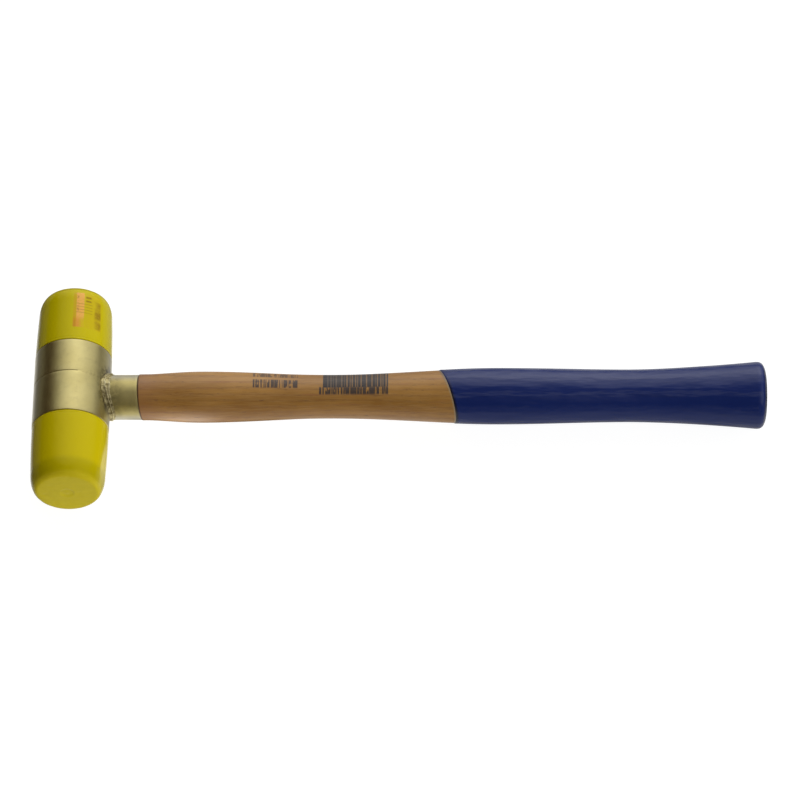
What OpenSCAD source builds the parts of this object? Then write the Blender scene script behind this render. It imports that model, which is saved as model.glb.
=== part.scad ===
// Recoilless soft-face mallet for woodcarving: a tubular steel head that holds loose shot,
// two plastic striking faces, and a hickory handle with a dipped grip.
// Frame: the origin is the centre of the lower striking face, +Y runs along the head to the
// upper face, +X runs along the handle to the butt, and +Z is up when the mallet lies flat.

/* [Head] */
// Outside diameter of the steel sleeves
head_d = 30; // [29:0.5:34]
// Wall thickness of the steel sleeves
sleeve_wall = 2; // [1.5:0.1:2.5]
// Length of the sleeve next to the lower face
lower_sleeve_len = 18.2; // [17:0.1:24]
// Length of the sleeve next to the upper face
upper_sleeve_len = 14.6; // [14:0.1:20]
// Chamfer on the outer edges of the sleeves, which shows as a fine groove at the seam
edge_cut = 0.25; // [0.1:0.05:0.6]

/* [Striking faces] */
// Length of the lower face that stands out of the steel
lower_face_len = 28.7; // [18:0.1:34]
// Length of the upper face that stands out of the steel
upper_face_len = 26.5; // [18:0.1:34]
// How far the plastic stands back from the steel at the joint, on the radius
face_step = 0.1; // [0:0.05:0.5]
// Narrowing of a face from the joint to its rounded end, on the radius
face_taper = 0.5; // [0:0.1:1.5]
// Length of the rounded end along the head
face_round_len = 7.4; // [4:0.1:9]
// Depth of the rounded end across the head
face_round_depth = 3.2; // [2:0.1:5]
// Length of the spigot that is pressed into the head
spigot_len = 6; // [4:0.5:6]

/* [Shot chamber] */
// Wall thickness of the canister inside the sleeves
canister_wall = 1.5; // [1:0.1:2]
// Thickness of the discs that close the canister
disc_t = 1; // [0.6:0.1:1.2]
// Diameter of one shot ball
shot_d = 4.5; // [4.3:0.1:4.7]
// Number of layers of shot along the head
shot_layers = 3; // [1:1:3]
// Clear space between neighbouring balls
shot_gap = 0.05; // [0.02:0.01:0.1]

/* [Neck] */
// Outside diameter of the neck tube
neck_d = 17.5; // [16.5:0.1:19]
// Bore of the neck tube, which is also the diameter of the handle's tenon
tenon_d = 14.5; // [13:0.1:15]
// Distance from the head's axis to the end of the neck tube
neck_reach = 26.8; // [25.5:0.1:32]
// Slant of the neck tube's end, which is shorter on the upper side of the lying mallet
neck_slant = 6.5; // [0:0.5:8]
// Leg length of the weld bead around the neck
weld_leg = 2; // [1:0.1:2.5]

/* [Handle] */
// Distance from the head's axis to the end of the butt
handle_reach = 270; // [240:1:320]
// Diameter of the handle where it meets the neck tube
shoulder_d = 17.7; // [16:0.1:19]
// Diameter of the first swell, behind the neck
swell_d = 19.9; // [17:0.1:24]
// Diameter of the thinnest part of the bare wood
waist_d = 17; // [14:0.1:20]
// Diameter of the grip at its thickest
grip_d = 21.6; // [18:0.1:28]
// Diameter of the narrow part before the butt
grip_waist_d = 20.1; // [16:0.1:26]
// Diameter of the butt before its rounded rim
butt_d = 25.9; // [22:0.1:34]
// Rounding of the butt's rim along the handle
rim_len = 2.6; // [1.5:0.1:5]
// Rounding of the butt's rim across the handle
rim_depth = 4.2; // [2:0.1:6]
// Height of the domed end of the butt
butt_dome = 0.5; // [0.2:0.1:1.5]

/* [Grip dip] */
// Thickness of the lacquer that the grip is dipped in
dip_t = 0.2; // [0.1:0.05:0.6]
// Distance from the head's axis to the edge of the lacquer, on the handle's axis
dip_start = 145.8; // [125:1:180]
// Slant of the lacquer's edge
dip_slant = 18.5; // [0:0.5:25]

/* [Wedge] */
// Length of the wedge in the end of the tenon
wedge_len = 8; // [5:0.5:8]
// Thickness of the wedge at its broad end
wedge_t = 1.8; // [1.2:0.1:2.4]
// Thickness of the wedge at its thin end
wedge_tip_t = 0.5; // [0.3:0.1:0.9]

/* [Hidden] */
$fn = 96;

// Stations along the head, from the lower striking face
lower_joint_y = lower_face_len;
seam_y = lower_joint_y + lower_sleeve_len;
upper_joint_y = seam_y + upper_sleeve_len;
head_len = upper_joint_y + upper_face_len;
handle_y = head_len / 2;
sleeve_bore = head_d - 2 * sleeve_wall;
canister_bore = sleeve_bore - 2 * canister_wall;

// Shot chamber between the two discs
chamber_low_y = lower_joint_y + spigot_len + disc_t;
chamber_high_y = upper_joint_y - spigot_len - disc_t;
shot_pitch = shot_d + shot_gap;
shot_rings = floor((canister_bore / 2 - shot_d / 2 - shot_gap) / shot_pitch);

// The tenon stops just short of the head
tenon_gap = 0.6;
tenon_start = head_d / 2 + tenon_gap;

// The slanted end of the neck tube reaches this far either way along the handle
slant_reach = neck_d / 2 * tan(neck_slant) + 0.5;
side_start = neck_reach - slant_reach;

// Steps of the turned outlines
round_steps = 14;
taper_steps = 10;
handle_steps = 72;

// The handle's outline swells and narrows between these stations along the handle
swell_x = 51;
waist_x = 100.5;
grip_x = handle_reach * 0.619;
grip_waist_x = handle_reach * 0.8;
butt_x = handle_reach - butt_dome - rim_len;
flare_power = 1.65;

// Larger than the whole handle, for cutting
beyond = 2 * handle_reach;

// Smooth step from 0 to 1 as x goes from a to b
function ease(x, a, b) = (1 - cos(180 * (x - a) / (b - a))) / 2;

// Radius of the bare wood at a distance x from the head's axis
function wood_r(x) =
    x < swell_x ? shoulder_d / 2 + (swell_d - shoulder_d) / 2 * ease(x, side_start, swell_x)
    : x < waist_x ? swell_d / 2 + (waist_d - swell_d) / 2 * ease(x, swell_x, waist_x)
    : x < grip_x ? waist_d / 2 + (grip_d - waist_d) / 2 * ease(x, waist_x, grip_x)
    : x < grip_waist_x ? grip_d / 2 + (grip_waist_d - grip_d) / 2 * ease(x, grip_x, grip_waist_x)
    : grip_waist_d / 2 + (butt_d - grip_waist_d) / 2
        * pow((x - grip_waist_x) / (butt_x - grip_waist_x), flare_power);

// Outline of the handle's outside from its shoulder to the butt, as [radius, distance],
// with a skin of the given thickness
function handle_side(skin) = [
    for (i = [0 : handle_steps])
        let (x = side_start + (butt_x - side_start) * i / handle_steps)
            [wood_r(x) + skin, x]
];

// Rounded rim of the butt, with the same skin
function butt_rim(skin) = [
    for (i = [1 : round_steps])
        let (a = 90 * i / round_steps)
            [
                butt_d / 2 - rim_depth * (1 - cos(a)) + skin * (2 + cos(a)) / 3,
                butt_x + rim_len * sin(a) + skin * sin(a)
            ]
];

// Domed end of the butt, with the same skin
function butt_end(skin) = [
    for (i = [taper_steps - 1 : -1 : 0])
        let (s = i / taper_steps)
            [
                (butt_d / 2 - rim_depth + skin * 2 / 3) * s,
                butt_x + rim_len + skin + butt_dome * (1 - s * s)
            ]
];

// The turned handle without its tenon, with a skin of the given thickness
module turned_handle(skin) {
    translate([0, handle_y, 0])
        rotate([0, 90, 0])
            rotate_extrude()
                polygon(concat([[0, side_start]], handle_side(skin), butt_rim(skin), butt_end(skin)));
}

// A round bar along the head's axis, from y0 to y1
module head_bar(d, y0, y1) {
    translate([0, y0, 0])
        rotate([-90, 0, 0])
            cylinder(h = y1 - y0, d = d);
}

// A round bar along the handle's axis, from x0 to x1
module handle_bar(d, x0, x1) {
    translate([x0, handle_y, 0])
        rotate([0, 90, 0])
            cylinder(h = x1 - x0, d = d);
}

// A steel sleeve with chamfered outer edges, from y0 to y1
module sleeve(y0, y1) {
    len = y1 - y0;
    translate([0, y0, 0])
        rotate([-90, 0, 0])
            rotate_extrude()
                polygon([
                    [sleeve_bore / 2, 0],
                    [head_d / 2 - edge_cut, 0],
                    [head_d / 2, edge_cut],
                    [head_d / 2, len - edge_cut],
                    [head_d / 2 - edge_cut, len],
                    [sleeve_bore / 2, len]
                ]);
}

// One striking face, standing from its flat end at 0 to its joint at length len,
// with the spigot beyond the joint
module face_plug(len) {
    joint_r = head_d / 2 - face_step;
    end_r = joint_r - face_taper;
    side = len - face_round_len;
    tapered = [
        for (i = [0 : taper_steps])
            let (s = i / taper_steps)
                [joint_r - face_taper * s * s, len - side * s]
    ];
    rounded = [
        for (i = [1 : round_steps])
            let (a = 90 * i / round_steps)
                [
                    end_r - face_round_depth * (1 - cos(a)),
                    face_round_len * (1 - sin(a))
                ]
    ];
    spigot = [
        [0, len + spigot_len],
        [canister_bore / 2, len + spigot_len],
        [canister_bore / 2, len]
    ];
    rotate_extrude()
        polygon(concat(spigot, tapered, rounded, [[0, 0]]));
}

module lower_face() {
    color([0.72, 0.67, 0.03])
        rotate([-90, 0, 0])
            face_plug(lower_face_len);
}

module upper_face() {
    color([0.72, 0.67, 0.03])
        translate([0, head_len, 0])
            rotate([90, 0, 0])
                face_plug(upper_face_len);
}

module lower_sleeve() {
    color([0.62, 0.58, 0.4])
        sleeve(lower_joint_y, seam_y);
}

module upper_sleeve() {
    color([0.62, 0.58, 0.4])
        sleeve(seam_y, upper_joint_y);
}

// The canister bridges the seam between the sleeves and takes both spigots
module shot_canister() {
    color([0.6, 0.6, 0.6])
        difference() {
            head_bar(sleeve_bore, lower_joint_y, upper_joint_y);
            head_bar(canister_bore, lower_joint_y - 1, upper_joint_y + 1);
        }
}

module lower_disc() {
    color([0.5, 0.5, 0.5])
        head_bar(canister_bore, chamber_low_y - disc_t, chamber_low_y);
}

module upper_disc() {
    color([0.5, 0.5, 0.5])
        head_bar(canister_bore, chamber_high_y, chamber_high_y + disc_t);
}

// Rings of balls around a centre ball, in layers along the head
module steel_shot() {
    middle_y = (chamber_low_y + chamber_high_y) / 2;
    color([0.7, 0.7, 0.72])
        for (layer = [0 : shot_layers - 1])
            translate([0, middle_y + (layer - (shot_layers - 1) / 2) * shot_pitch, 0])
                for (ring = [0 : shot_rings])
                    let (count = max(1, 6 * ring))
                        for (i = [0 : count - 1])
                            rotate([0, 360 * i / count, 0])
                                translate([ring * shot_pitch, 0, 0])
                                    sphere(d = shot_d);
}

// Everything past the slanted end of the neck tube, towards the butt
module past_neck() {
    translate([neck_reach, handle_y, 0])
        rotate([0, -neck_slant, 0])
            translate([0, -beyond / 2, -beyond / 2])
                cube(beyond);
}

// The neck tube is cut to sit on the sleeves
module neck_tube() {
    color([0.68, 0.63, 0.47])
        difference() {
            handle_bar(neck_d, 0, neck_reach + slant_reach);
            handle_bar(tenon_d, -1, neck_reach + slant_reach + 1);
            head_bar(head_d, 0, head_len);
            past_neck();
        }
}

// Bead in the corner between the neck tube and the sleeves
module neck_weld() {
    color([0.5, 0.47, 0.36])
        difference() {
            intersection() {
                handle_bar(neck_d + 2 * weld_leg, 0, neck_reach);
                head_bar(head_d + 2 * weld_leg, 0, head_len);
            }
            handle_bar(neck_d, -1, neck_reach + 1);
            head_bar(head_d, 0, head_len);
        }
}

// Outline of the wedge from above: broad at the tenon's end, thin towards the butt
module wedge_outline() {
    polygon([
        [tenon_start, -wedge_t / 2],
        [tenon_start + wedge_len, -wedge_tip_t / 2],
        [tenon_start + wedge_len, wedge_tip_t / 2],
        [tenon_start, wedge_t / 2]
    ]);
}

// The wedge lies across the tenon and is as wide as the tenon is thick
module wedge_bar() {
    translate([0, handle_y, 0])
        linear_extrude(height = tenon_d, center = true)
            wedge_outline();
}

module handle() {
    color([0.66, 0.5, 0.33])
        difference() {
            union() {
                handle_bar(tenon_d, tenon_start, neck_reach + slant_reach);
                intersection() {
                    turned_handle(0);
                    past_neck();
                }
            }
            wedge_bar();
        }
}

module handle_wedge() {
    color([0.5, 0.36, 0.22])
        intersection() {
            wedge_bar();
            handle_bar(tenon_d, tenon_start, neck_reach);
        }
}

// Lacquer skin over the grip, which stops at a slanted edge
module grip_dip() {
    color([0.1, 0.15, 0.38])
        difference() {
            turned_handle(dip_t);
            turned_handle(0);
            translate([dip_start, handle_y, 0])
                rotate([0, 0, dip_slant])
                    translate([-beyond, -beyond / 2, -beyond / 2])
                        cube(beyond);
        }
}

lower_face();
upper_face();
lower_sleeve();
upper_sleeve();
shot_canister();
lower_disc();
upper_disc();
steel_shot();
neck_tube();
neck_weld();
handle();
handle_wedge();
grip_dip();
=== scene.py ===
"""Looks of the recoilless soft-face mallet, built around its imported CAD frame.

The head lies along +Y, the handle along +X, and +Z is up. Everything is in metres.
"""

import math

import bpy
import numpy as np
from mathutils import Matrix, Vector, noise


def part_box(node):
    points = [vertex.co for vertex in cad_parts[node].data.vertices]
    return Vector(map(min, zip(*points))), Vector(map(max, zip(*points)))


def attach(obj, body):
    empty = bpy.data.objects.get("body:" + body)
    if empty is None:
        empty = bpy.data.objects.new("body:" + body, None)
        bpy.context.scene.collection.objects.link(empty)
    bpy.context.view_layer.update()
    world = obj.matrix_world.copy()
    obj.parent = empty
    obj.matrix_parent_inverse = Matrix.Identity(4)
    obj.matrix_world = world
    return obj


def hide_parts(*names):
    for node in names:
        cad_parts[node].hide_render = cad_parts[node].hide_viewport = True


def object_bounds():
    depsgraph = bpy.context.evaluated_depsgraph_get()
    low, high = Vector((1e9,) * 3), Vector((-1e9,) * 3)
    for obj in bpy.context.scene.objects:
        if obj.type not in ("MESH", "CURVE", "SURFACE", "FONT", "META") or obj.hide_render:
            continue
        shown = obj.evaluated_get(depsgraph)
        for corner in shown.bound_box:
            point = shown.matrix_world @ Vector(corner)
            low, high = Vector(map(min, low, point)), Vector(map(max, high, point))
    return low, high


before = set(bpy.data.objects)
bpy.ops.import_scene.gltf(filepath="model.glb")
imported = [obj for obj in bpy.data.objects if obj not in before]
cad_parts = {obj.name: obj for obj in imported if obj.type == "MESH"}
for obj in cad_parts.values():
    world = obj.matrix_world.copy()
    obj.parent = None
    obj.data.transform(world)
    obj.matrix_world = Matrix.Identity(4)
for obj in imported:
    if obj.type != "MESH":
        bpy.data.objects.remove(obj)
cad_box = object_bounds()

MM = 0.001
TAU = 2 * math.pi
MICRONS = 1e6  # in a metre
HAIR = 1 / MICRONS  # two places closer than this are the same


# ---------------------------------------------------------------- the frame, measured


def vertices_of(node):
    """The corners of a CAD node as an array of points."""
    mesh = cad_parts[node].data
    points = np.empty(len(mesh.vertices) * 3)
    mesh.vertices.foreach_get("co", points)
    return points.reshape(-1, 3)


def turned_outline(along, radius):
    """Stations of a turned CAD surface: [place along the axis, largest radius there]. A place
    counts as a station when it has enough corners."""
    enough = 12
    key = np.round(along * MICRONS).astype(int)
    stations = []
    for k in np.unique(key):
        here = key == k
        if here.sum() >= enough:
            stations.append([along[here].mean(), radius[here].max()])
    return np.array(stations)


def head_outline(node):
    """Outline of a node that is turned about the head's axis."""
    p = vertices_of(node)
    return turned_outline(p[:, 1], np.hypot(p[:, 0], p[:, 2]))


def handle_outline(node):
    """Outline of a node that is turned about the handle's axis."""
    p = vertices_of(node)
    return turned_outline(p[:, 0], np.hypot(p[:, 1] - HANDLE_Y, p[:, 2]))


def wood_outline():
    """Outline of the wood past the neck's end, carried back a little under it."""
    reach = 2 * MM
    past = handle_outline("handle")
    past = past[past[:, 0] > NECK_END_X + reach]
    return np.vstack([[NECK_END_X - reach, past[0][1]], past])


def neck_slant():
    """Where the neck tube's slanted end crosses the handle's axis, and its slope downwards."""
    points = vertices_of("neck_tube")
    top = points[points[:, 2] > NECK_R - HAIR][:, 0].max()
    bottom = points[points[:, 2] < -NECK_R + HAIR][:, 0].max()
    return (top + bottom) / 2, (bottom - top) / (2 * NECK_R)


def dip_slant():
    """Where the lacquer's slanted edge crosses the handle's axis, and its slope along +Y."""
    points = vertices_of("grip_dip")
    well_off = 9 * MM
    upper = points[points[:, 1] > HANDLE_Y + well_off]
    lower = points[points[:, 1] < HANDLE_Y - well_off]
    high = upper[np.argmin(upper[:, 0])]
    low = lower[np.argmin(lower[:, 0])]
    slope = (high[0] - low[0]) / (high[1] - low[1])
    return high[0] - slope * (high[1] - HANDLE_Y), slope


lower_sleeve_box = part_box("lower_sleeve")
upper_sleeve_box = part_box("upper_sleeve")
neck_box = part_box("neck_tube")
handle_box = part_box("handle")

FACE_Y = (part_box("lower_face")[0].y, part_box("upper_face")[1].y)
SEAM_Y = lower_sleeve_box[1].y
SLEEVE_R = lower_sleeve_box[1].z
SLEEVE_BORE_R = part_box("shot_canister")[1].z
SPIGOT_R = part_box("lower_disc")[1].z
HANDLE_Y = (neck_box[0].y + neck_box[1].y) / 2
NECK_R = neck_box[1].z
NECK_END_X, NECK_END_SLOPE = neck_slant()
TENON_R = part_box("handle_wedge")[1].z
DIP_X, DIP_SLOPE = dip_slant()
BUTT_X = cad_box[1][0]

# Outlines of the bare wood and of the lacquer skin: [place along the handle, radius there]
WOOD = wood_outline()
SKIN = handle_outline("grip_dip")

# Places of the plain prints: along the upper face, and along the handle
PRINT_Y = (FACE_Y[1] - 20.6 * MM, FACE_Y[1] - 3.7 * MM)
ROWS_X = (70.6 * MM, 88.0 * MM)
BARS_X = (97.8 * MM, 123.0 * MM)


# ---------------------------------------------------------------- mesh helpers


def circle(segments):
    """Evenly spaced angles all the way round."""
    return np.arange(segments) / segments * TAU


def smooth_curve(points, step):
    """Points every step along a smooth curve through the given points."""
    p = np.array(points, float)
    s = np.concatenate([[0], np.cumsum(np.linalg.norm(np.diff(p, axis=0), axis=1))])
    slopes = np.gradient(p, s, axis=0)
    out = []
    for i in range(len(p) - 1):
        gap = s[i + 1] - s[i]
        count = max(1, int(round(gap / step)))
        for t in np.arange(count) / count:
            a = (1 + 2 * t) * (1 - t) ** 2
            b = t * (1 - t) ** 2
            c = t * t * (3 - 2 * t)
            d = t * t * (t - 1)
            out.append(a * p[i] + b * gap * slopes[i] + c * p[i + 1] + d * gap * slopes[i + 1])
    out.append(p[-1])
    return np.array(out)


def ring_mesh(name, rings, ends):
    """A closed mesh of rings of points. ends is "loop" when the last ring joins the first,
    or "poles" when the first and last rings shrink to one point each."""
    count = len(rings[0])
    first, last = 0, len(rings)
    points, faces = [], []
    if ends == "poles":
        first, last = 1, len(rings) - 1
        points.append(tuple(np.mean(rings[0], axis=0)))
    offset = len(points)
    for ring in rings[first:last]:
        points.extend(tuple(p) for p in ring)
    rows = last - first
    for i in range(rows if ends == "loop" else rows - 1):
        a, b = offset + i * count, offset + (i + 1) % rows * count
        for j in range(count):
            k = (j + 1) % count
            faces.append((a + j, a + k, b + k, b + j))
    if ends == "poles":
        points.append(tuple(np.mean(rings[-1], axis=0)))
        tip, a = len(points) - 1, offset + (rows - 1) * count
        for j in range(count):
            k = (j + 1) % count
            faces.append((0, offset + k, offset + j))
            faces.append((tip, a + j, a + k))
    return finish_mesh(name, points, faces)


def finish_mesh(name, points, faces):
    """Makes the object, turns its faces outwards and shades it smooth between sharp edges."""
    sharp_from = math.radians(38)
    mesh = bpy.data.meshes.new(name)
    mesh.from_pydata(points, [], faces)
    mesh.validate()
    if signed_volume(mesh) < 0:
        mesh.flip_normals()
    mesh.polygons.foreach_set("use_smooth", [True] * len(mesh.polygons))
    mesh.set_sharp_from_angle(angle=sharp_from)
    piece = bpy.data.objects.new(name, mesh)
    bpy.context.scene.collection.objects.link(piece)
    return piece


def signed_volume(mesh):
    """Six times the mesh's volume, negative when its faces point inwards."""
    mesh.calc_loop_triangles()
    co = np.empty(len(mesh.vertices) * 3)
    mesh.vertices.foreach_get("co", co)
    co = co.reshape(-1, 3)
    tri = np.empty(len(mesh.loop_triangles) * 3, np.int32)
    mesh.loop_triangles.foreach_get("vertices", tri)
    a, b, c = (co[tri[i::3]] for i in range(3))
    return float(np.einsum("ij,ij->i", a, np.cross(b, c)).sum())


def waves(x, y, z=0.0):
    """Smooth noise between about -1 and 1, the same on each run."""
    return noise.noise(Vector((x, y, z)))


def hump(off, width):
    """1 where off is 0, fading to 0 on both sides of it."""
    return math.exp(-((off / width) ** 2))


def place(piece, material, slot, *replaced):
    """Gives the piece its material and its body, and hides what it stands for; slot is not used."""
    piece.data.materials.clear()
    piece.data.materials.append(material)
    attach(piece, "mallet")
    if replaced:
        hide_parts(*replaced)


def recolour(node, material):
    """Gives its material to a CAD node that no piece replaces."""
    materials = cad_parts[node].data.materials
    materials.clear()
    materials.append(material)


# ---------------------------------------------------------------- shader helpers


class Shader:
    """A small builder of shader trees: each call adds a node and returns its output."""

    def __init__(self, owner, coordinates="Object"):
        """owner is the new material or world, and coordinates the kind of place it reads."""
        owner.use_nodes = True
        self.owner = owner
        self.tree = owner.node_tree
        self.tree.nodes.clear()
        self.place = self.read("TexCoord", coordinates)
        self.x, self.y, self.z = self.split(self.place)

    def node(self, kind, **inputs):
        """Adds a node and fills its inputs; names use _ for a space."""
        node = self.tree.nodes.new("ShaderNode" + kind)
        for name, value in inputs.items():
            self.put(node.inputs[name.replace("_", " ")], value)
        return node

    def put(self, socket, value):
        """Links or sets one input."""
        if isinstance(value, bpy.types.NodeSocket):
            self.tree.links.new(value, socket)
        elif isinstance(value, (tuple, list)) and socket.type == "RGBA":
            socket.default_value = (*value, 1.0)
        else:
            socket.default_value = value

    def read(self, kind, output):
        """One output of a node whose inputs stay as they are."""
        return self.node(kind).outputs[output]

    def split(self, vector):
        """The three coordinates of a vector."""
        return self.node("SeparateXYZ", Vector=vector).outputs

    def join(self, x, y, z):
        """A vector of three coordinates."""
        return self.node("CombineXYZ", X=x, Y=y, Z=z).outputs[0]

    def math(self, operation, *values):
        """The named operation on one or two values."""
        node = self.node("Math")
        node.operation = operation
        for socket, value in zip(node.inputs, values):
            self.put(socket, value)
        return node.outputs[0]

    def add(self, a, b):
        return self.math("ADD", a, b)

    def times(self, a, b):
        return self.math("MULTIPLY", a, b)

    def less(self, a, b):
        """a minus b."""
        return self.math("SUBTRACT", a, b)

    def both(self, *masks):
        """1 where all the masks are 1."""
        out = masks[0]
        for mask in masks[1:]:
            out = self.times(out, mask)
        return out

    def most(self, *masks):
        """The highest of the masks."""
        out = masks[0]
        for mask in masks[1:]:
            out = self.math("MAXIMUM", out, mask)
        return out

    def step(self, value, start, end):
        """0 before start, 1 after end, smooth between."""
        node = self.node("MapRange")
        node.interpolation_type = "SMOOTHSTEP"
        for name, given in (("Value", value), ("From Min", start), ("From Max", end)):
            self.put(node.inputs[name], given)
        return node.outputs["Result"]

    def fade(self, value, start, end):
        """1 before start, 0 after end, smooth between."""
        return self.less(1.0, self.step(value, start, end))

    def between(self, value, low, high, soft):
        """1 between low and high, with soft edges."""
        return self.both(
            self.step(value, low - soft, low + soft),
            self.fade(value, high - soft, high + soft),
        )

    def sector(self, angle, low, high, soft):
        """1 between two angles given in degrees, with soft edges."""
        return self.between(angle, *(math.radians(a) for a in (low, high, soft)))

    def spread(self, value, low, high):
        """Maps 0..1 to low..high."""
        return self.add(self.times(value, high - low), low)

    def wave(self, value, length):
        """A sine of the given wavelength."""
        return self.math("SINE", self.times(value, TAU / length))

    def noise(self, vector, scale=1.0, detail=3.0, rough=0.5, warp=0.0):
        """Noise from 0 to 1, mostly near its middle."""
        node = self.node("TexNoise", Vector=vector, Scale=scale, Detail=detail)
        self.put(node.inputs["Roughness"], rough)
        self.put(node.inputs["Distortion"], warp)
        return node.outputs[0]

    def grain(self, y, along, across, detail=3.0, rough=0.5):
        """Noise drawn out along the handle; along and across are its scales."""
        at = self.join(self.times(self.x, along), self.times(y, across), self.times(self.z, across))
        return self.noise(at, 1, detail, rough)

    def mix(self, factor, a, b):
        """Colour a where factor is 0, b where it is 1."""
        node = self.node("Mix")
        node.data_type = "RGBA"
        for socket, value in zip((0, 6, 7), (factor, a, b)):
            self.put(node.inputs[socket], value)
        return node.outputs[2]

    def bump(self, height, distance, below=None):
        """A normal raised by height times distance, on top of the normal below it."""
        node = self.node("Bump", Height=height, Distance=distance)
        if below is not None:
            self.put(node.inputs["Normal"], below)
        return node.outputs[0]

    def around_head(self):
        """(place along the head, angle about it from straight up towards the handle)."""
        return self.y, self.math("ARCTAN2", self.x, self.z)

    def around_handle(self):
        """(place along the handle, angle about it from the head's upper end through the top)."""
        return self.x, self.math("ARCTAN2", self.z, self.less(self.y, HANDLE_Y))

    def finish(self, output, surface, **inputs):
        """Ends the tree with the named surface node, and returns the material or world."""
        made = self.node(surface, **inputs)
        self.tree.links.new(made.outputs[0], self.node(output).inputs["Surface"])
        return self.owner


def new_material(name):
    """A shader for a new material."""
    return Shader(bpy.data.materials.new(name))


def principled(s, **inputs):
    """Ends a material with a Principled surface."""
    return s.finish("OutputMaterial", "BsdfPrincipled", **inputs)


# ---------------------------------------------------------------- materials


def plated_steel(name, rough, worn=0.0, scorched=0.95, sheen_from=0.45):
    """Satin steel under a thin yellow passivation: turning lines, and heat marks by the weld.

    worn adds dark stains, scorched is the strength of the heat marks, and the last argument is how
    edge-on the surface is where a painted grazing reflection starts to turn its yellow pale grey."""
    s = new_material(name)
    mottle = s.noise(s.place, 260, 5, 0.6)
    cloud = s.noise(s.place, 70, 3, 0.5)
    stain = s.step(s.noise(s.place, 520, 4, 0.65, 0.4), 0.56, 0.72)
    gold = s.mix(s.step(cloud, 0.36, 0.64), (0.70, 0.61, 0.275), (0.64, 0.55, 0.235))
    colour = s.mix(s.times(s.step(mottle, 0.4, 0.75), 0.35), gold, (0.50, 0.43, 0.20))
    colour = s.mix(s.times(stain, 0.12 + worn), colour, (0.30, 0.25, 0.13))

    off_y = s.math("POWER", s.less(s.y, HANDLE_Y), 2.0)
    off_axis = s.math("SQRT", s.add(off_y, s.math("POWER", s.z, 2.0)))
    near_weld = s.both(
        s.fade(off_axis, NECK_R + 1.2 * MM, NECK_R + 4.5 * MM),
        s.fade(s.x, SLEEVE_R + 1.5 * MM, SLEEVE_R + 7 * MM),
        s.step(s.x, 0.66 * SLEEVE_R, 0.84 * SLEEVE_R),
    )
    scorch = s.step(s.noise(s.place, 430, 5, 0.7, 0.3), 0.36, 0.60)
    colour = s.mix(s.both(near_weld, s.spread(scorch, 0.1, scorched)), colour, (0.15, 0.12, 0.05))

    # Painted reflection: the colour goes pale grey where the surface is seen edge-on.
    grazing_sheen = s.step(s.read("LayerWeight", "Facing"), sheen_from, sheen_from + 0.4)
    colour = s.mix(s.times(grazing_sheen, 0.6), colour, (0.74, 0.73, 0.68))

    along, angle = s.around_head()
    turning = s.join(s.times(angle, 1.2), s.times(along, 5200), s.times(s.z, 8))
    height = s.bump(s.noise(turning, 1, 3, 0.7), 0.008 * MM)
    height = s.bump(mottle, 0.05 * MM, height)
    height = s.bump(s.times(near_weld, s.noise(s.place, 700, 4, 0.6)), 0.06 * MM, height)
    satin = s.spread(s.noise(s.place, 420, 4, 0.6), rough - 0.06, rough + 0.06)
    return principled(
        s,
        Base_Color=colour,
        Metallic=1.0,
        Roughness=s.add(satin, s.times(near_weld, 0.08)),
        Normal=height,
    )


def weld_metal():
    """Weld metal under the same plating: a painted highlight along its crests, with darker scale in
    the hollows.
    """
    s = new_material("weld_metal")
    scale = s.step(s.noise(s.place, 560, 5, 0.65, 0.4), 0.42, 0.64)
    mark = s.node("Attribute")
    mark.attribute_name = "crest"
    crest = mark.outputs["Fac"]
    # Painted highlight: the crests, marked by the crest attribute, get a pale colour and less
    # metal; the hollows keep darker scale.
    hollow = s.mix(scale, (0.60, 0.52, 0.27), (0.23, 0.185, 0.08))
    ridge_highlight = s.mix(s.times(scale, 0.35), (0.94, 0.86, 0.55), (0.52, 0.44, 0.23))
    return principled(
        s,
        Base_Color=s.mix(crest, hollow, ridge_highlight),
        Metallic=s.spread(crest, 0.95, 0.55),
        Roughness=s.spread(crest, 0.52, 0.40),
        Normal=s.bump(s.noise(s.place, 800, 4, 0.6), 0.08 * MM),
    )


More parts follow.
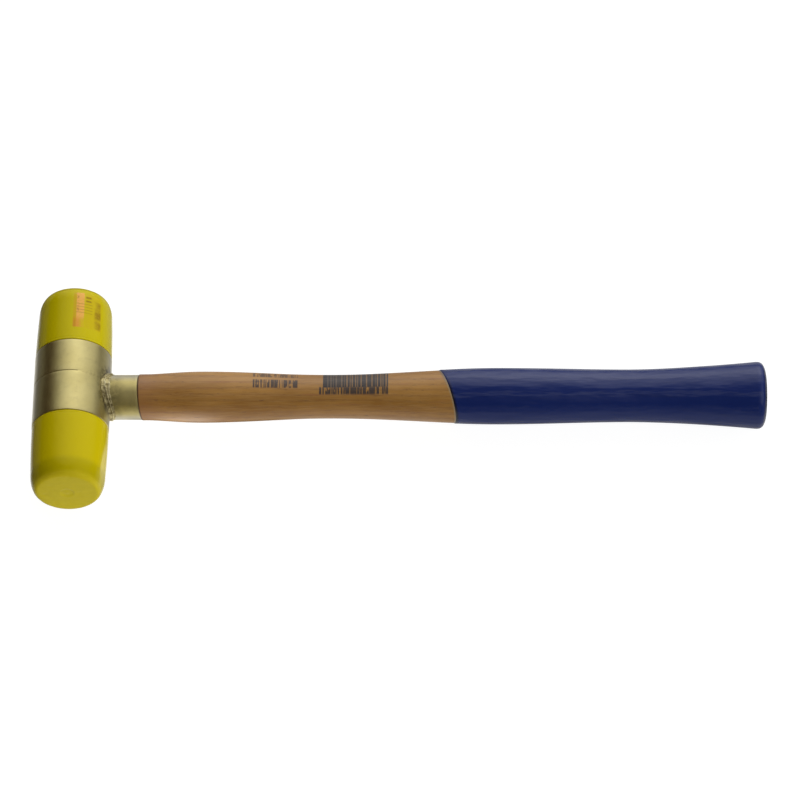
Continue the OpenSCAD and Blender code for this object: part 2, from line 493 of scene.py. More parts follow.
def face_plastic():
    """Glossy acid-yellow plastic: scuffed striking ends, a faded plain print, and painted shade on
    its end rims.
    """
    s = new_material("face_plastic")
    low_end, high_end = FACE_Y
    cloud = s.noise(s.place, 60, 3, 0.5)
    colour = s.mix(cloud, (0.62, 0.525, 0.0015), (0.56, 0.475, 0.0015))
    to_low_end = s.step(s.y, high_end, low_end)
    colour = s.mix(s.times(to_low_end, 0.6), colour, (0.60, 0.475, 0.0015))

    half = (high_end - low_end) / 2
    from_middle = s.math("ABSOLUTE", s.less(s.y, (low_end + high_end) / 2))
    scuffed = s.step(from_middle, half - 3.0 * MM, half - 0.2 * MM)
    haze = s.noise(s.join(s.times(s.x, 240), s.times(s.y, 240), s.times(s.z, 420)), 1, 3)
    colour = s.mix(s.times(scuffed, s.spread(haze, 0.25, 0.70)), colour, (0.85, 0.70, 0.035))

    # Painted shade: the rounded rim of the lower end is darkened.
    rounding = s.between(s.y, low_end + 1.4 * MM, low_end + 7.4 * MM, 1.6 * MM)
    colour = s.mix(s.times(rounding, 0.75), colour, (0.44, 0.365, 0.0015))
    colour = face_print(s, colour)
    # Painted shade: a dark band on the rounded rim of the upper end, where it turns away, with its
    # gloss turned down.
    far_rim_shade = s.between(s.y, high_end - 2.0 * MM, high_end - 0.3 * MM, 0.6 * MM)
    colour = s.mix(s.times(far_rim_shade, 0.5), colour, (0.22, 0.18, 0.010))

    dust = s.noise(s.place, 700, 5, 0.65)
    height = s.bump(s.noise(s.place, 130, 2, 0.5), 0.09 * MM)
    height = s.bump(s.times(dust, s.spread(scuffed, 0.15, 1.0)), 0.02 * MM, height)
    gloss = s.spread(s.noise(s.place, 350, 3, 0.5), 0.13, 0.19)
    return principled(
        s,
        Base_Color=colour,
        Roughness=s.add(gloss, s.times(scuffed, 0.2)),
        IOR=1.5,
        Specular_IOR_Level=s.spread(far_rim_shade, 0.28, 0.08),
        Specular_Tint=(1.0, 0.88, 0.40),
        Subsurface_Weight=0.08,
        Subsurface_Radius=(1.0, 0.8, 0.1),
        Subsurface_Scale=1.2 * MM,
        Normal=height,
    )


def face_print(s, colour):
    """A faded orange stripe with plain thin lines and soft smudges beside it."""
    along, angle = s.around_head()
    low, high = PRINT_Y
    faded = s.step(s.noise(s.place, 1300, 4, 0.7), 0.30, 0.55)
    low_end = s.fade(along, low + 2.5 * MM, low + 6.0 * MM)

    tint = s.both(s.sector(angle, 18, 47, 3), s.between(along, low, high, 0.5 * MM))
    colour = s.mix(s.times(tint, 0.35), colour, (0.60, 0.40, 0.004))
    fringe = s.both(s.sector(angle, 1.0, 6.0, 1.6), s.between(along, low, high, 0.3 * MM))
    colour = s.mix(s.both(fringe, s.spread(low_end, 0.35, 0.8)), colour, (0.62, 0.22, 0.02))
    stripe = s.both(s.sector(angle, 5.5, 17.5, 1.0), s.between(along, low, high, 0.3 * MM))
    rubbed = s.both(low_end, s.step(angle, math.radians(8), math.radians(16)))
    strength = s.both(stripe, s.spread(faded, 0.55, 0.9), s.spread(rubbed, 1.0, 0.25))
    orange = s.mix(low_end, (0.88, 0.42, 0.11), (0.74, 0.30, 0.045))
    colour = s.mix(strength, colour, orange)

    lines = s.both(
        s.step(s.wave(along, 1.4 * MM), 0.45, 0.95),
        s.sector(angle, 5, 31, 1.5),
        s.between(along, low + 6.2 * MM, high - 4.6 * MM, 0.4 * MM),
    )
    smudges = s.both(
        s.step(s.noise(s.join(s.times(s.x, 170), s.times(along, 260), 0.0), 1, 1), 0.26, 0.60),
        s.sector(angle, 35, 46, 2.5),
        s.between(along, low + 0.6 * MM, high - 3.0 * MM, 0.6 * MM),
    )
    dashes = s.both(
        s.step(s.wave(along, 1.9 * MM), -0.5, 0.3),
        s.sector(angle, 20, 29, 1.8),
        s.between(along, high - 4.4 * MM, high - 1.6 * MM, 0.3 * MM),
    )
    ticks = s.both(
        s.step(s.noise(s.join(s.times(angle, 9), s.times(along, 900), 3.0), 1, 2), 0.50, 0.60),
        s.sector(angle, 6, 9, 1.0),
        s.between(along, low + 7.0 * MM, high - 0.8 * MM, 0.5 * MM),
    )
    ink = s.most(
        s.times(smudges, 0.8), s.times(dashes, 0.8), s.times(lines, 0.5), s.times(ticks, 0.6)
    )
    return s.mix(s.both(ink, s.spread(faded, 0.5, 1.0)), colour, (0.26, 0.13, 0.003))


def hickory():
    """Clear-lacquered hickory: bands, pores and flecks along the handle, a plain print, and painted
    shade by the neck tube's end and by the lacquer's edge.
    """
    s = new_material("hickory")
    y = s.less(s.y, HANDLE_Y)
    drift = s.grain(y, 9, 30)
    across = s.add(s.add(s.times(y, 0.82), s.times(s.z, 0.57)), s.times(drift, 7 * MM))
    early = s.step(s.wave(across, 2.1 * MM), -0.2, 0.95)
    tone = s.grain(y, 20, 110, 4, 0.6)
    fibre = s.grain(y, 90, 2600, 4, 0.65)
    pores = s.step(s.grain(y, 260, 5200, 2), 0.60, 0.70)
    flecks = s.step(s.grain(y, 45, 900), 0.62, 0.74)

    colour = s.mix(s.step(tone, 0.32, 0.68), (0.425, 0.211, 0.040), (0.285, 0.126, 0.016))
    colour = s.mix(s.times(early, 0.32), colour, (0.235, 0.105, 0.026))
    colour = s.mix(s.times(s.step(fibre, 0.35, 0.75), 0.30), colour, (0.56, 0.33, 0.12))
    colour = s.mix(s.times(flecks, 0.35), colour, (0.30, 0.095, 0.035))
    colour = s.mix(s.both(pores, s.spread(early, 0.25, 0.8)), colour, (0.10, 0.05, 0.02))

    burnish = s.fade(s.x, NECK_END_X, NECK_END_X + 13 * MM)
    colour = s.mix(s.both(burnish, s.spread(tone, 0.0, 0.9)), colour, (0.27, 0.115, 0.040))
    # Painted shadow: a thin dark line on the wood just past the neck tube's slanted end.
    past_neck = s.less(s.x, s.less(NECK_END_X, s.times(s.z, NECK_END_SLOPE)))
    neck_edge_shadow = s.less(0.8, s.step(past_neck, 0.25 * MM, 0.9 * MM))
    colour = s.mix(neck_edge_shadow, colour, (0.07, 0.035, 0.015))

    worn = s.step(s.noise(s.place, 1500, 4, 0.7), 0.30, 0.46)
    bars, ground = bar_block(s)
    rows = plain_rows(s)
    colour = s.mix(ground, colour, (0.105, 0.075, 0.052))
    colour = s.mix(s.both(bars, s.spread(worn, 0.7, 0.95)), colour, (0.040, 0.030, 0.028))
    colour = s.mix(s.both(rows, s.spread(worn, 0.65, 0.95)), colour, (0.048, 0.029, 0.022))

    past_lip = dip_distance(s)
    pale = s.between(past_lip, -0.6 * MM, 0.3 * MM, 0.12 * MM)
    colour = s.mix(s.times(pale, 0.55), colour, (0.36, 0.31, 0.20))
    # Painted shade: the wood darkens just before the lacquer's edge, on the handle's far side (+Y).
    wood_lip_shade = s.both(s.step(past_lip, -1.5 * MM, -0.1 * MM), s.step(y, -3 * MM, 4 * MM))
    colour = s.mix(s.times(wood_lip_shade, 0.75), colour, (0.10, 0.08, 0.075))

    height = s.bump(fibre, 0.035 * MM)
    height = s.bump(pores, -0.03 * MM, height)
    height = s.bump(drift, 0.4 * MM, height)
    return principled(
        s,
        Base_Color=colour,
        Roughness=s.spread(fibre, 0.42, 0.6),
        Coat_Weight=s.spread(s.most(bars, ground, rows), 0.55, 0.4),
        Coat_Roughness=0.27,
        Coat_IOR=1.45,
        Normal=height,
        Coat_Normal=s.bump(fibre, 0.012 * MM),
    )


def bar_block(s):
    """Masks of a block of plain bars of uneven width that stand for no code, and its ground."""
    along, angle = s.around_handle()
    start, end = BARS_X
    at = s.less(along, start)
    beat = s.add(
        s.wave(at, 1.07 * MM),
        s.add(s.times(s.wave(at, 1.93 * MM), 0.8), s.times(s.wave(at, 0.71 * MM), 0.5)),
    )
    ground = s.both(
        s.between(along, start, end, 0.12 * MM),
        s.sector(angle, -20, 99, 1.2),
        s.less(0.95, s.times(s.step(at, 6.0 * MM, 10.0 * MM), 0.4)),
    )
    under = s.both(
        uneven_strokes(s, at, angle, 1.0),
        s.between(along, start - 1.6 * MM, end, 0.12 * MM),
        s.sector(angle, 98, 118, 3.0),
    )
    bars = s.both(s.step(beat, -0.75, -0.25), s.times(ground, 2.0))
    return s.most(bars, under), ground


def uneven_strokes(s, at, angle, seed):
    """Short broken strokes of uneven width that spell nothing."""
    stems = s.noise(s.join(s.times(at, 1900), s.times(angle, 0.3), seed), 1, 1, 0.5)
    gaps = s.noise(s.join(s.times(at, 800), s.times(angle, 2.0), seed + 5.0), 1, 1, 0.5)
    return s.both(s.step(stems, 0.36, 0.48), s.step(gaps, 0.28, 0.40))


def plain_rows(s):
    """Mask of two rows of plain uneven strokes where the real handle has print."""
    along, angle = s.around_handle()
    start, end = ROWS_X
    at = s.less(along, start)
    large = s.both(uneven_strokes(s, at, angle, 9.0), s.sector(angle, 77, 101, 2.0))
    small = s.both(uneven_strokes(s, at, s.times(angle, 1.6), 14.0), s.sector(angle, 46, 68, 2.0))
    return s.both(s.most(large, s.times(small, 0.8)), s.between(along, start, end, 0.2 * MM))


def dip_distance(s):
    """Distance along the handle past the slanted edge of the lacquer."""
    edge = s.add(s.times(s.less(s.y, HANDLE_Y), DIP_SLOPE), DIP_X)
    return s.less(s.x, edge)


def grip_lacquer():
    """Thick dipped lacquer: deep blue, with the grain showing through as long soft ridges, and
    painted shade at its lip and at the butt's end.
    """
    s = new_material("grip_lacquer")
    y = s.less(s.y, HANDLE_Y)
    ridges = s.grain(y, 42, 560)
    swells = s.grain(y, 75, 210, 2)
    cloud = s.noise(s.place, 45, 3, 0.5)
    colour = s.mix(cloud, (0.006, 0.018, 0.118), (0.009, 0.023, 0.134))
    colour = s.mix(s.times(s.step(ridges, 0.55, 0.8), 0.25), colour, (0.005, 0.013, 0.070))

    # Painted shade: the lacquer's thick lip is darkened, strongly on the near side (-Y), faintly on
    # the far side.
    wider = s.times(s.step(y, -5 * MM, 8 * MM), 1.1 * MM)
    rim = s.fade(s.less(dip_distance(s), wider), 0.1 * MM, 1.4 * MM)
    lip_shade_strength = s.spread(s.step(y, -5 * MM, 3 * MM), 0.95, 0.15)
    colour = s.mix(s.times(rim, lip_shade_strength), colour, (0.008, 0.007, 0.012))
    # Painted shade: the lacquer darkens over the last turn into the butt's end, which faces away.
    turned = s.step(s.x, BUTT_X - 2.4 * MM, BUTT_X - 1.0 * MM)
    colour = s.mix(s.times(turned, 0.7), colour, (0.002, 0.005, 0.030))
    return principled(
        s,
        Base_Color=colour,
        Roughness=s.spread(s.noise(s.place, 300, 3, 0.5), 0.17, 0.25),
        IOR=1.5,
        Normal=s.bump(ridges, 0.13 * MM, s.bump(swells, 0.5 * MM)),
    )


def plain_steel(name, colour, rough):
    """Bare steel of the hidden pieces, faintly marked from drawing or tumbling."""
    s = new_material(name)
    marks = s.noise(s.place, 900, 4, 0.6)
    shade = tuple(0.72 * c for c in colour)
    return principled(
        s,
        Base_Color=s.mix(marks, colour, shade),
        Metallic=1.0,
        Roughness=s.spread(marks, rough, rough + 0.15),
        Normal=s.bump(marks, 0.01 * MM),
    )


def sawn_wood():
    """Plain sawn hardwood of the wedge."""
    s = new_material("sawn_wood")
    grain = s.grain(s.y, 200, 2500, 4, 0.6)
    return principled(
        s,
        Base_Color=s.mix(grain, (0.30, 0.17, 0.07), (0.18, 0.09, 0.035)),
        Roughness=0.75,
        Normal=s.bump(grain, 0.05 * MM),
    )


# ---------------------------------------------------------------- pieces of the head


def head_ring(radius, y, angles):
    """A ring about the head's axis; radius and y may differ at each angle."""
    y = np.full_like(angles, y) if np.isscalar(y) else y
    return np.stack([radius * np.cos(angles), y, radius * np.sin(angles)], axis=1)


def face_curve(outline):
    """Half-section of a striking face as (radius, depth from its end), with a gate mark in the
    middle of the end, a mould groove by the joint, and the spigot. Also the joint's depth."""
    joint_r, joint = outline[outline[:, 1] > SPIGOT_R + MM][-1][::-1]
    side = outline[outline[:, 0] <= joint + HAIR]
    spigot_end = outline[-1][0]
    flat_r = side[0][1]

    # (radius, depth) in mm
    gate_mark = [
        (0.0, 0.14), (0.3, 0.14), (0.6, 0.20), (1.6, 0.26),
        (2.1, 0.24), (2.5, 0.12), (2.8, 0.03), (3.2, 0.0),
    ]
    curve = [(r * MM, depth * MM) for r, depth in gate_mark]
    curve += [(r, 0.0) for r in np.arange(4.0 * MM, flat_r - 0.3 * MM, 0.7 * MM)]
    plain_side = side[side[:, 0] < joint - 1.7 * MM]
    curve += [(r, depth) for depth, r in smooth_curve(plain_side, 0.55 * MM)]

    # (distance back from the joint, cut into the side) in mm
    mould_groove = [
        (1.52, 0.0), (1.40, 0.01), (1.30, 0.05), (1.18, 0.05),
        (1.08, 0.01), (0.96, 0.0), (0.6, 0.0),
    ]
    for back, cut in mould_groove:
        depth = joint - back * MM
        curve.append((np.interp(depth, side[:, 0], side[:, 1]) - cut * MM, depth))
    seat_r = joint_r - 0.32 * MM
    curve += [
        (joint_r, joint - 0.42 * MM),
        (joint_r - 0.05 * MM, joint - 0.30 * MM),
        (seat_r, joint - 0.26 * MM),
        (seat_r, joint),
        (SPIGOT_R, joint),
        (SPIGOT_R, spigot_end - 0.5 * MM),
        (SPIGOT_R - 0.5 * MM, spigot_end),
        (0.0, spigot_end),
    ]
    return curve, joint


def striking_face(name, node, end_y, inward):
    """A moulded striking face: a slightly battered end, a rounded rim, a tapered side and the
    spigot behind it. inward is +1 or -1 along the head."""
    gate_r = 3.2 * MM
    battered_depth = 8 * MM
    angles = circle(192)
    outline = head_outline(node)
    outline[:, 0] = (outline[:, 0] - end_y) * inward
    outline = outline[np.argsort(outline[:, 0])]
    curve, joint = face_curve(outline)
    rings = []
    for r, depth in curve:
        sink = np.zeros(len(angles))
        bulge = np.zeros(len(angles))
        if gate_r < r and depth < joint * 0.9:
            near_end = max(0.0, 1 - depth / battered_depth)
            for j, a in enumerate(angles):
                px, pz = r * math.cos(a) / MM, r * math.sin(a) / MM
                dents = max(0.0, waves(px * 0.33, pz * 0.33, 3.1 + inward) - 0.22)
                sink[j] = (0.22 * dents + 0.02 + 0.02 * waves(px, pz, 7.0)) * near_end * MM
                bulge[j] = 0.02 * MM * waves(px * 0.12, depth / MM * 0.12, pz * 0.12 + inward)
        y = end_y + inward * (depth + sink)
        rings.append(head_ring(r + np.minimum(bulge, 0), y, angles))
    return ring_mesh(name, rings, "poles")


def steel_sleeve(name, low_y, high_y, seed):
    """A sleeve with softened edges and very slight waviness from plating and handling."""
    angles = circle(224)
    edge = 0.25 * MM
    edge_turns = np.radians((25, 50, 75, 90))
    rim = [(SLEEVE_R - edge * (1 - math.sin(t)), edge * (1 - math.cos(t))) for t in edge_turns]
    straight = high_y - low_y - 2 * edge
    curve = [(SLEEVE_BORE_R, low_y), (SLEEVE_R - edge, low_y)]
    curve += [(r, low_y + y) for r, y in rim]
    curve += [(SLEEVE_R, low_y + edge + straight * t) for t in np.arange(1, 12) / 12]
    curve += [(r, high_y - y) for r, y in reversed(rim)]
    curve += [(SLEEVE_R - edge, high_y), (SLEEVE_BORE_R, high_y)]
    rings = []
    for r, y in curve:
        wobble = np.zeros(len(angles))
        if r > SLEEVE_R - 1.5 * edge:
            for j, a in enumerate(angles):
                spot = waves(math.cos(a) * 2, y / MM * 0.16, math.sin(a) * 2 + seed)
                wobble[j] = 0.018 * MM * (spot - 0.6)
        rings.append(head_ring(r + np.minimum(wobble, 0), y, angles))
    return ring_mesh(name, rings, "loop")


def seam_weld():
    """A low run of weld that closes the seam on both sides of the neck and fades out."""
    along, across = 260, 10
    reach = math.radians(78)
    centre = math.radians(90)
    points = []
    for j in range(across + 1):
        s = 2 * j / across - 1
        for i in range(along):
            u = 2 * i / (along - 1) - 1
            a = centre + reach * u
            fade = max(0.0, 1 - abs(u) ** 6)
            width = (0.95 + 0.4 * waves(a * 6, 4.0)) * fade**0.5 + 0.05
            ripple = 0.02 * math.sin(a * 60 + 2 * s * s)
            height = (0.07 + ripple + 0.05 * waves(a * 9, s * 2)) * fade * (1 - s * s)
            r = SLEEVE_R + (height - 0.03) * MM
            points.append((r * math.sin(a), SEAM_Y + s * width * MM, r * math.cos(a)))
    top = len(points)
    points += [(0.985 * x, y, 0.985 * z) for x, y, z in points]
    faces = []
    for j in range(across):
        for i in range(along - 1):
            a, b = j * along + i, (j + 1) * along + i
            faces.append((a, a + 1, b + 1, b))
            faces.append((top + a, top + b, top + b + 1, top + a + 1))
    edge = [j * along for j in range(across + 1)]
    edge += [across * along + i for i in range(1, along)]
    edge += [j * along + along - 1 for j in range(across - 1, -1, -1)]
    edge += list(range(along - 2, 0, -1))
    for a, b in zip(edge, edge[1:] + edge[:1]):
        faces.append((a, b, top + b, top + a))
    return finish_mesh("seam_weld", points, faces)


# ---------------------------------------------------------------- pieces of the neck and handle


def handle_ring(r, x, angles):
    """A ring about the handle's axis; r and x may differ at each angle."""
    x = np.full_like(angles, x) if np.isscalar(x) else x
    return np.stack([x, HANDLE_Y + r * np.cos(angles), r * np.sin(angles)], axis=1)


def saddle_x(r, angles):
    """Where a tube of radius r along the handle meets the outside of the sleeves."""
    return np.sqrt(SLEEVE_R**2 - (r * np.sin(angles)) ** 2)


def neck_end(r, angles):
    """Where the slanted end of the neck tube is, at radius r and each angle."""
    return NECK_END_X - NECK_END_SLOPE * r * np.sin(angles)


def neck_piece():
    """The neck tube: saddle-cut on the sleeves, slanted and rounded over at its end."""
    angles = circle(160)
    rounding = 0.3 * MM
    start = saddle_x(NECK_R, angles)
    end = neck_end(NECK_R, angles)
    rings = [
        handle_ring(TENON_R, saddle_x(TENON_R, angles), angles),
        handle_ring(NECK_R, start, angles),
    ]
    length = end - rounding - start
    for t in np.arange(1, 14) / 14:
        spots = (waves(math.cos(a) * 1.5, math.sin(a) * 1.5, t * 3) for a in angles)
        worn = np.array([0.02 * MM * (spot - 0.5) for spot in spots])
        rings.append(handle_ring(NECK_R + np.minimum(worn, 0), start + length * t, angles))
    for t in np.radians((0, 30, 60, 90)):
        r = NECK_R - rounding * (1 - math.cos(t))
        rings.append(handle_ring(r, end - rounding * (1 - math.sin(t)), angles))
    rings.append(handle_ring(TENON_R, neck_end(TENON_R, angles), angles))
    return ring_mesh("neck_tube_skin", rings, "loop")


def bell(angle, centre_deg, width_deg):
    """1 at the centre angle, fading to 0 on both sides of it."""
    off = math.degrees(math.remainder(angle - math.radians(centre_deg), TAU))
    return hump(off, width_deg)


def bead_point(a, s):
    """A point of the weld bead at angle a, s of the way from the neck to the sleeves, and how much
    of the painted crest highlight it carries."""
    c, d = math.cos(a), math.sin(a)
    top = bell(a, 90, 34)
    neck_leg = (2.5 + 0.9 * top + 0.3 * waves(c * 2.2, d * 2.2, 1.0)) * MM
    sleeve_leg = (0.6 - 0.2 * top + 0.3 * waves(c * 2.6, d * 2.6, 5.0)) * MM
    ripple = math.sin(52 * a + 2.0 * waves(c * 5, d * 5, 2.0))
    lumps = waves(c * 7, d * 7, s * 3)
    crest_at = 0.40 + 0.28 * bell(a, 62, 38) + 0.07 * waves(c * 6, d * 6, 21.0)
    crest = hump(s - crest_at, 0.065) * (0.45 + 0.26 * waves(c * 9, d * 9, 8.0))
    second = hump(s - 0.17, 0.06) * top * (0.36 + 0.3 * waves(c * 8, d * 8, 12.0))
    swell = 1 - (2 * s - 1) ** 4
    rise = swell * (0.05 + crest + second + 0.03 * ripple + 0.13 * lumps) * MM
    outwards = rise / math.sqrt(2)
    sunk = 0.05 * MM * (1 - swell)
    r = NECK_R + sleeve_leg * s**1.35
    x = math.sqrt(SLEEVE_R**2 - (r * d) ** 2) + neck_leg * (1 - s) ** 1.35
    x += outwards - sunk * s
    r += outwards - sunk * (1 - s)
    highlight_share = max(0.0, min(1.0, 2.2 * (crest + second) - 0.1))
    return (x, HANDLE_Y + r * c, r * d), highlight_share


def weld_bead():
    """The bead around the foot of the neck: a thin uneven crest, and a second one on the top."""
    across = 36
    angles = circle(720)
    rings = []
    painted_highlight_marks = []
    for j in range(across + 1):
        made = [bead_point(a, j / across) for a in angles]
        rings.append(np.array([point for point, _ in made]))
        painted_highlight_marks += [share for _, share in made]
    under = NECK_R - 0.05 * MM
    rings.append(handle_ring(under, saddle_x(NECK_R, angles) - 0.25 * MM, angles))
    painted_highlight_marks += [0.0] * len(angles)
    bead = ring_mesh("neck_weld_bead", rings, "loop")
    # The crest attribute says where the weld metal's painted highlight goes.
    mark = bead.data.attributes.new("crest", "FLOAT", "POINT")
    mark.data.foreach_set("value", painted_highlight_marks)
    return bead


def wood_radius(x):
    """Radius of the wood at x."""
    return np.interp(x, WOOD[:, 0], WOOD[:, 1])


def uneven_ring(x, r, angles, depth, stretch, turns, solid_r):
    """A ring of the handle, up to depth out of true. stretch is how fast that changes along the
    handle and turns how fast around it, and rings smaller than solid_r stay true."""
    x = np.full_like(angles, x) if np.isscalar(x) else x
    spots = (
        waves(x_mm * stretch, math.cos(a) * turns, math.sin(a) * turns)
        for x_mm, a in zip(x / MM, angles)
    )
    out = np.array([depth * spot for spot in spots])
    return handle_ring(r + np.where(np.asarray(r) > solid_r, out, 0.0), x, angles)


def turned_ring(x, r, angles):
    """A ring of the wood, very slightly out of true as hand-sanded wood is."""
    return uneven_ring(x, r, angles, 0.05 * MM, 0.05, 1.3, 1 * MM)


def ridged_ring(x, r, angles):
    """A ring of the lacquer with the wood's long ridges showing through."""
    return uneven_ring(x, r, angles, 0.06 * MM, 0.045, 4.5, 4 * MM)


def wood_handle():
    """The hickory handle: tenon, slanted shoulder, turned swells and the butt."""
    angles = circle(144)
    start_x = handle_box[0].x
    chamfer = 0.5 * MM
    rings = [
        handle_ring(0.0, start_x, angles),
        handle_ring(TENON_R - chamfer, start_x, angles),
        handle_ring(TENON_R, start_x + chamfer, angles),
        handle_ring(TENON_R, neck_end(TENON_R, angles), angles),
    ]
    shoulder_r = float(wood_radius(NECK_END_X))
    shoulder_x = neck_end(NECK_R, angles)
    rounding = 0.45 * MM
    shoulder = [(0.35 * MM, 0.0), (0.12 * MM, 0.06 * MM), (0.02 * MM, 0.2 * MM), (0.0, rounding)]
    for cut, on in shoulder:
        rings.append(handle_ring(shoulder_r - cut, shoulder_x + on, angles))
    slanted_x = shoulder_x + rounding
    straight_x = NECK_END_X + 16 * MM
    curve = smooth_curve(WOOD[WOOD[:, 0] > straight_x - 0.1 * MM], 1.6 * MM)
    for t in np.arange(1, 10) / 10:
        x = slanted_x + (curve[0][0] - slanted_x) * t
        rings.append(turned_ring(x, wood_radius(x), angles))
    for x, r in curve[:-1]:
        rings.append(turned_ring(x, r, angles))
    rings.append(handle_ring(0.0, curve[-1][0], angles))
    return ring_mesh("handle_wood", rings, "poles")


def dipped_grip():
    """The lacquer skin: a rounded lip at the slanted edge, then a skin with soft ridges."""
    angles = circle(160)
    straight_x = DIP_X + 14 * MM
    outer = softened_end(smooth_curve(SKIN[SKIN[:, 0] > straight_x], 1.3 * MM))
    inner = WOOD[WOOD[:, 0] > straight_x]
    edge = DIP_X + DIP_SLOPE * wood_radius(DIP_X) * np.cos(angles)
    thickness = float(np.interp(straight_x, SKIN[:, 0], SKIN[:, 1]) - wood_radius(straight_x))

    def blended(t):
        """t of the way from the slanted edge to the first square ring."""
        return edge + (outer[0][0] - edge) * t

    rings = [handle_ring(0.0, inner[-1][0], angles)]
    for x, r in inner[-2::-1]:
        rings.append(handle_ring(r, x, angles))
    for t in (0.66, 0.33):
        x = blended(t)
        rings.append(handle_ring(wood_radius(x), x, angles))
    # (distance past the edge in mm, share of the skin's thickness)
    lip = [
        (0.0, 0.0), (0.04, 0.3), (0.12, 0.6), (0.27, 0.88),
        (0.5, 1.08), (0.8, 1.14), (1.15, 1.1), (1.7, 1.0),
    ]
    for on, share in lip:
        x = edge + on * MM
        rings.append(handle_ring(wood_radius(x) + thickness * share, x, angles))
    for t in np.arange(2, 12) / 12:
        x = blended(t)
        rings.append(ridged_ring(x, wood_radius(x) + thickness, angles))
    for x, r in outer[:-1]:
        rings.append(ridged_ring(x, r, angles))
    rings.append(handle_ring(0.0, outer[-1][0], angles))
    return ring_mesh("grip_skin", rings, "poles")


def softened_end(curve):
    """The same outline with the turn into its last rim made gradual, always inside the old one."""
    tail_length = 9 * MM
    reach = 3
    tail = curve[curve[:, 0] > curve[-1][0] - tail_length]
    body = curve[: len(curve) - len(tail)]
    walked = np.concatenate([[0], np.cumsum(np.linalg.norm(np.diff(tail, axis=0), axis=1))])
    at = np.append(np.arange(0, walked[-1], 0.3 * MM), walked[-1])
    fine = np.stack([np.interp(at, walked, tail[:, k]) for k in (0, 1)], axis=1)
    soft = fine.copy()
    for i in range(reach, len(fine) - reach):
        soft[i] = fine[i - reach : i + reach + 1].mean(axis=0)
    return np.vstack([body, soft])


# ---------------------------------------------------------------- the mallet, put together

steel = plated_steel("plated_steel", 0.35)
plastic = face_plastic()

lower_face = striking_face("lower_face_moulding", "lower_face", FACE_Y[0], 1)
upper_face = striking_face("upper_face_moulding", "upper_face", FACE_Y[1], -1)
place(lower_face, plastic, "face_plastic", "lower_face")
place(upper_face, plastic, "face_plastic", "upper_face")

lower_sleeve = steel_sleeve("lower_sleeve_skin", lower_sleeve_box[0].y, SEAM_Y, 0.0)
upper_sleeve = steel_sleeve("upper_sleeve_skin", SEAM_Y, upper_sleeve_box[1].y, 9.0)
place(lower_sleeve, steel, "sleeve_steel", "lower_sleeve")
place(upper_sleeve, steel, "sleeve_steel", "upper_sleeve")

neck_steel = plated_steel("neck_steel", 0.52, worn=0.04, scorched=0.45, sheen_from=0.25)
place(neck_piece(), neck_steel, "sleeve_steel", "neck_tube")
place(weld_bead(), weld_metal(), "weld_steel", "neck_weld")
place(seam_weld(), plated_steel("seam_steel", 0.42, worn=0.25), "weld_steel")
place(wood_handle(), hickory(), "hickory", "handle")
place(dipped_grip(), grip_lacquer(), "grip_lacquer", "grip_dip")

drawn_steel = plain_steel("drawn_steel", (0.45, 0.45, 0.46), 0.35)
for node in ("shot_canister", "lower_disc", "upper_disc"):
    recolour(node, drawn_steel)
recolour("steel_shot", plain_steel("ball_steel", (0.62, 0.62, 0.64), 0.15))
recolour("handle_wedge", sawn_wood())


# ---------------------------------------------------------------- stage, light and camera


def floor_glow(s):
    """Brightness of the soft patches on the floor that only reflections show: beside the handle
    and the head, before the head, and beyond the neck and the bare wood."""
    off = s.less(s.y, HANDLE_Y)
    on_grip = s.step(s.x, 132 * MM, 158 * MM)
    past_neck = s.step(s.x, 46 * MM, 60 * MM)
    level = s.add(s.spread(on_grip, 0.6, 0.3), s.less(1.42, s.times(past_neck, 1.42)))
    front = s.both(s.step(off, -120 * MM, -15 * MM), s.fade(off, 12 * MM, 32 * MM))
    behind = s.both(on_grip, s.step(off, 5 * MM, 20 * MM), s.fade(off, 60 * MM, 120 * MM))
    by_neck = s.both(s.fade(s.x, 76 * MM, 92 * MM), s.step(off, -14 * MM, -7 * MM))
    beside_handle = s.both(
        s.most(s.both(front, level), s.times(behind, 0.35)),
        s.less(1.0, by_neck),
        s.between(s.x, 30 * MM, handle_box[1].x + 25 * MM, 18 * MM),
    )
    beside_head = s.both(
        s.fade(s.x, 16 * MM, 29 * MM),
        s.step(s.x, -41 * MM, -17 * MM),
        s.between(s.y, FACE_Y[0] + 2 * MM, FACE_Y[1] + 10 * MM, 6 * MM),
    )
    before_head = s.both(
        s.between(s.x, -16 * MM, 16 * MM, 8 * MM),
        s.between(s.y, -30 * MM, 0.0, 8 * MM),
    )
    beyond = s.both(
        s.between(s.x, 24 * MM, 132 * MM, 12 * MM),
        s.between(off, 14 * MM, 130 * MM, 6 * MM),
    )
    beyond_level = s.spread(s.step(s.x, 40 * MM, 60 * MM), 0.32, 0.22)
    return s.most(
        beside_handle,
        beside_head,
        s.times(before_head, 0.45),
        s.times(beyond, beyond_level),
    )


def pale_floor():
    """A pale floor that looks near white to the camera, with a soft glow for reflections."""
    s = new_material("pale_floor")
    tint = s.noise(s.place, 8, 2, 0.5)
    seen = s.read("LightPath", "Is Camera Ray")
    return principled(
        s,
        Base_Color=s.mix(tint, (0.20, 0.20, 0.20), (0.18, 0.18, 0.18)),
        Roughness=0.8,
        IOR=1.2,
        Emission_Color=(1.0, 1.0, 1.0),
        Emission_Strength=s.add(s.times(seen, 0.95), s.times(s.less(1.0, seen), floor_glow(s))),
    )


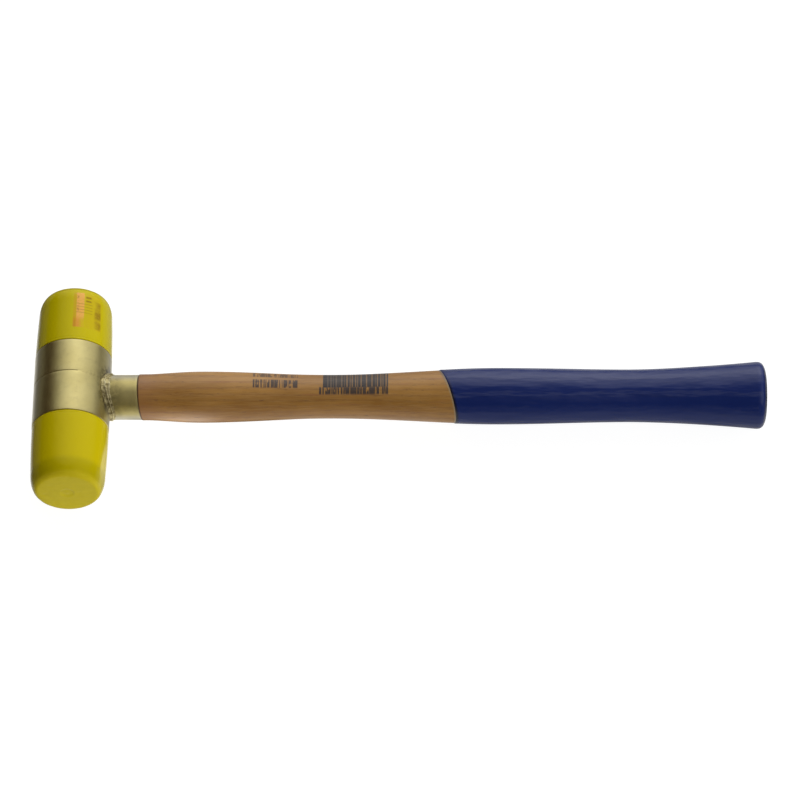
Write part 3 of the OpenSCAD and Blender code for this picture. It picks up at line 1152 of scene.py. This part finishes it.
def floor_under():
    """A floor that the head's side and the butt both rest on."""
    half = 3.0
    butt_x, butt_r = SKIN[np.argmax(SKIN[:, 1])]
    slope = (SLEEVE_R - butt_r) / butt_x
    corners = [(-half, -half), (half, -half), (half, half), (-half, half)]
    mesh = bpy.data.meshes.new("floor")
    mesh.from_pydata([(x, y, slope * x - SLEEVE_R) for x, y in corners], [], [(0, 1, 2, 3)])
    mesh.materials.append(pale_floor())
    floor = bpy.data.objects.new("floor", mesh)
    bpy.context.scene.collection.objects.link(floor)


def direction(azimuth, elevation):
    """A unit vector. Azimuth is from +Y towards +X."""
    a, e = math.radians(azimuth), math.radians(elevation)
    return Vector((math.sin(a) * math.cos(e), math.cos(a) * math.cos(e), math.sin(e)))


def soft_light(name, aim, towards, distance, width, height, watts):
    """A rectangular soft light that isn't mirrored in the surfaces it lights."""
    lamp = bpy.data.lights.new(name, "AREA")
    lamp.shape = "RECTANGLE"
    lamp.size = width
    lamp.size_y = height
    lamp.energy = watts
    light = bpy.data.objects.new(name, lamp)
    light.location = aim + towards * distance
    light.rotation_euler = towards.to_track_quat("Z", "Y").to_euler()
    light.visible_glossy = False
    bpy.context.scene.collection.objects.link(light)


def studio_world():
    """A dark, faintly warm room with soft bright patches on its walls and ceiling. The camera
    itself sees it near white."""
    world = bpy.data.worlds.new("studio")
    bpy.context.scene.world = world
    s = Shader(world, "Generated")

    def patch(azimuth, elevation, outer, inner, level):
        """A round patch: full inside the inner angle, nothing outside the outer one."""
        facing = s.node("VectorMath")
        facing.operation = "DOT_PRODUCT"
        s.put(facing.inputs[0], s.place)
        s.put(facing.inputs[1], direction(azimuth, elevation))
        edges = (math.cos(math.radians(angle)) for angle in (outer, inner))
        return s.times(s.step(facing.outputs["Value"], *edges), level)

    room = 0.03
    behind = s.add(patch(12, 33, 23, 8, 0.88), patch(15, 33, 60, 26, 0.80))
    sides = s.add(patch(125, 38, 42, 12, 0.6), patch(0, 72, 32, 6, 0.18))
    strip = s.less(s.step(s.y, -0.36, -0.40), s.step(s.y, -0.44, -0.48))
    overhead = s.step(s.z, 0.6, 0.8)
    patches = s.add(s.add(behind, sides), s.times(s.both(strip, overhead), 0.8))
    for_camera = s.times(s.read("LightPath", "Is Camera Ray"), 0.9)
    strength = s.add(s.add(patches, room), for_camera)
    colour = s.mix(s.step(strength, room, 0.25), (1.0, 0.55, 0.20), (1.0, 0.99, 0.97))
    s.finish("OutputWorld", "Background", Color=colour, Strength=strength)


def photo_camera():
    """A long lens, looking down at the middle of the mallet from in front."""
    towards_camera = direction(180.22, 56.0)
    distance = 1.5403
    middle = (cad_box[0] + cad_box[1]) / 2
    aim = Vector((middle[0], middle[1] - 1.3 * MM, middle[2] - 0.5 * MM))
    data = bpy.data.cameras.new("photo_camera")
    data.lens = 178.2
    data.sensor_width = 36.0
    data.clip_end = 20.0
    camera = bpy.data.objects.new("photo_camera", data)
    camera.location = aim + towards_camera * distance
    camera.rotation_euler = towards_camera.to_track_quat("Z", "Y").to_euler()
    bpy.context.scene.collection.objects.link(camera)
    bpy.context.scene.camera = camera


floor_under()
studio_world()
middle = Vector(((cad_box[0][0] + cad_box[1][0]) / 2, HANDLE_Y, 0))
soft_light("key", middle, direction(14, 40), 1.3, 1.0, 0.7, 7)
soft_light("side", middle, direction(92, 18), 1.4, 0.8, 0.5, 4.5)
soft_light("front", middle, direction(180, 6), 1.0, 0.9, 0.2, 3.4)
photo_camera()
bpy.context.scene.view_settings.view_transform = "Standard"
